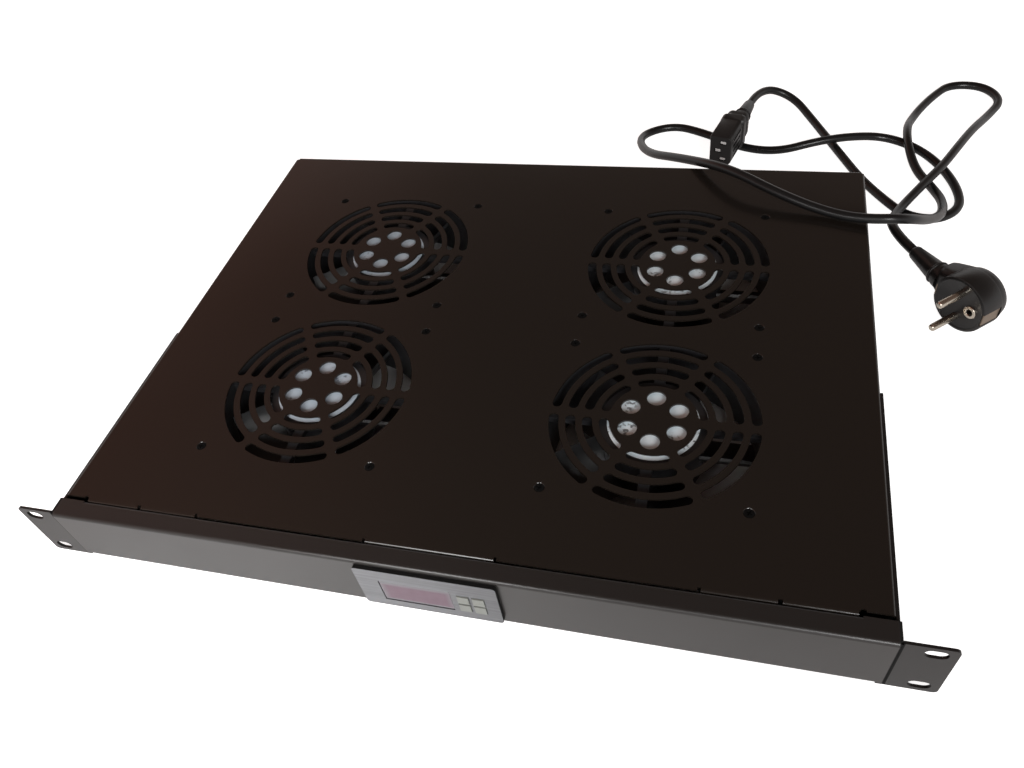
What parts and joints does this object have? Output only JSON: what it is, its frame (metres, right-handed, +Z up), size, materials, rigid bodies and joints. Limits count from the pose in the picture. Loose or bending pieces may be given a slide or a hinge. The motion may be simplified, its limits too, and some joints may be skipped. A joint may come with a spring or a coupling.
{
  "type": "rack fan tray",
  "caption": "One-unit rack fan tray with ring grilles over axial fans, folded ears, a front temperature controller and a detachable mains lead",
  "frame": {"origin": "middle of the four rack slots, on the back face of the ears", "axes": "+X towards the right ear seen from the front, +Y into the rack, +Z up"},
  "size_m": [0.5767, 0.5411, 0.0596],
  "materials": {
    "deck_paint": "satin",
    "channel_paint": "satin",
    "ear_paint": "satin",
    "rivet_steel": "satin",
    "fan_casting": "satin",
    "rotor_plastic": "satin",
    "bright_steel": "smooth",
    "stator_iron": "matt",
    "label_foil": "satin",
    "black_screw": "satin",
    "bezel_grey": "satin",
    "case_black": "matt",
    "window_tint": "polished",
    "button_grey": "matt",
    "mat_rubber": "matt",
    "board_green": "satin",
    "terminal_green": "matt",
    "terminal_steel": "smooth",
    "inlet_plastic": "satin",
    "contact_brass": "smooth",
    "lead_black": "satin",
    "lead_inner": "matt",
    "lead_earth": "matt",
    "probe_metal": "polished",
    "moulding_black": "satin"
  },
  "bodies": {
    "tray": {"fan_deck": "deck_paint", "front_channel": "channel_paint", "left_ear": "ear_paint", "right_ear": "ear_paint", "ear_rivets": "rivet_steel", "fan_frame_front_left": "fan_casting", "fan_frame_front_right": "fan_casting", "fan_frame_rear_left": "fan_casting", "fan_frame_rear_right": "fan_casting", "fan_bearings": "bright_steel", "earth_screw": "bright_steel", "fan_nuts": "bright_steel", "inlet_nuts": "bright_steel", "panel_clips": "bright_steel", "fan_stators": "stator_iron", "fan_labels": "label_foil", "fan_screws": "black_screw", "inlet_screws": "black_screw", "controller_bezel": "bezel_grey", "controller_case": "case_black", "display_window": "window_tint", "button_membrane": "mat_rubber", "controller_board": "board_green", "display_module": "board_green", "controller_terminals": "terminal_green", "terminal_block": "terminal_green", "terminal_screws": "terminal_steel", "terminal_block_screws": "terminal_steel", "inlet_body": "inlet_plastic", "inlet_pins": "contact_brass", "connector_contacts": "contact_brass", "plug_pins": "contact_brass", "plug_earth_clips": "contact_brass", "mains_cord": "lead_black", "control_lead": "lead_black", "fan_leads": "lead_inner", "supply_lead": "lead_inner", "probe_lead": "lead_inner", "earth_lead": "lead_earth", "probe_tip": "probe_metal", "connector_body": "moulding_black", "connector_boot": "moulding_black", "plug_body": "moulding_black", "plug_boot": "moulding_black"},
    "rotor_front_left": {"impeller_front_left": "rotor_plastic", "rotor_shaft_front_left": "bright_steel"},
    "rotor_front_right": {"impeller_front_right": "rotor_plastic", "rotor_shaft_front_right": "bright_steel"},
    "rotor_rear_left": {"impeller_rear_left": "rotor_plastic", "rotor_shaft_rear_left": "bright_steel"},
    "rotor_rear_right": {"impeller_rear_right": "rotor_plastic", "rotor_shaft_rear_right": "bright_steel"},
    "key_up": {"button_up": "button_grey"},
    "key_down": {"button_down": "button_grey"},
    "key_set": {"button_set": "button_grey"},
    "key_power": {"button_power": "button_grey"}
  },
  "joints": [
    {"name": "fan_spin_front_left", "type": "hinge", "parent": "tray", "child": "rotor_front_left", "pos_m": [-0.1, 0.1069, 0], "axis": [0, 0, 1], "continuous": true},
    {"name": "fan_spin_front_right", "type": "hinge", "parent": "tray", "child": "rotor_front_right", "pos_m": [0.1, 0.1069, 0], "axis": [0, 0, 1], "continuous": true},
    {"name": "fan_spin_rear_left", "type": "hinge", "parent": "tray", "child": "rotor_rear_left", "pos_m": [-0.1, 0.2359, 0], "axis": [0, 0, 1], "continuous": true},
    {"name": "fan_spin_rear_right", "type": "hinge", "parent": "tray", "child": "rotor_rear_right", "pos_m": [0.1, 0.2359, 0], "axis": [0, 0, 1], "continuous": true},
    {"name": "press_up", "type": "slide", "parent": "tray", "child": "key_up", "axis": [0, 1, 0], "range_m": [0, 0.0008], "stiffness_N_per_m": 800, "springref_m": -0.0008},
    {"name": "press_down", "type": "slide", "parent": "tray", "child": "key_down", "axis": [0, 1, 0], "range_m": [0, 0.0008], "stiffness_N_per_m": 800, "springref_m": -0.0008},
    {"name": "press_set", "type": "slide", "parent": "tray", "child": "key_set", "axis": [0, 1, 0], "range_m": [0, 0.0008], "stiffness_N_per_m": 800, "springref_m": -0.0008},
    {"name": "press_power", "type": "slide", "parent": "tray", "child": "key_power", "axis": [0, 1, 0], "range_m": [0, 0.0008], "stiffness_N_per_m": 800, "springref_m": -0.0008}
  ]
}
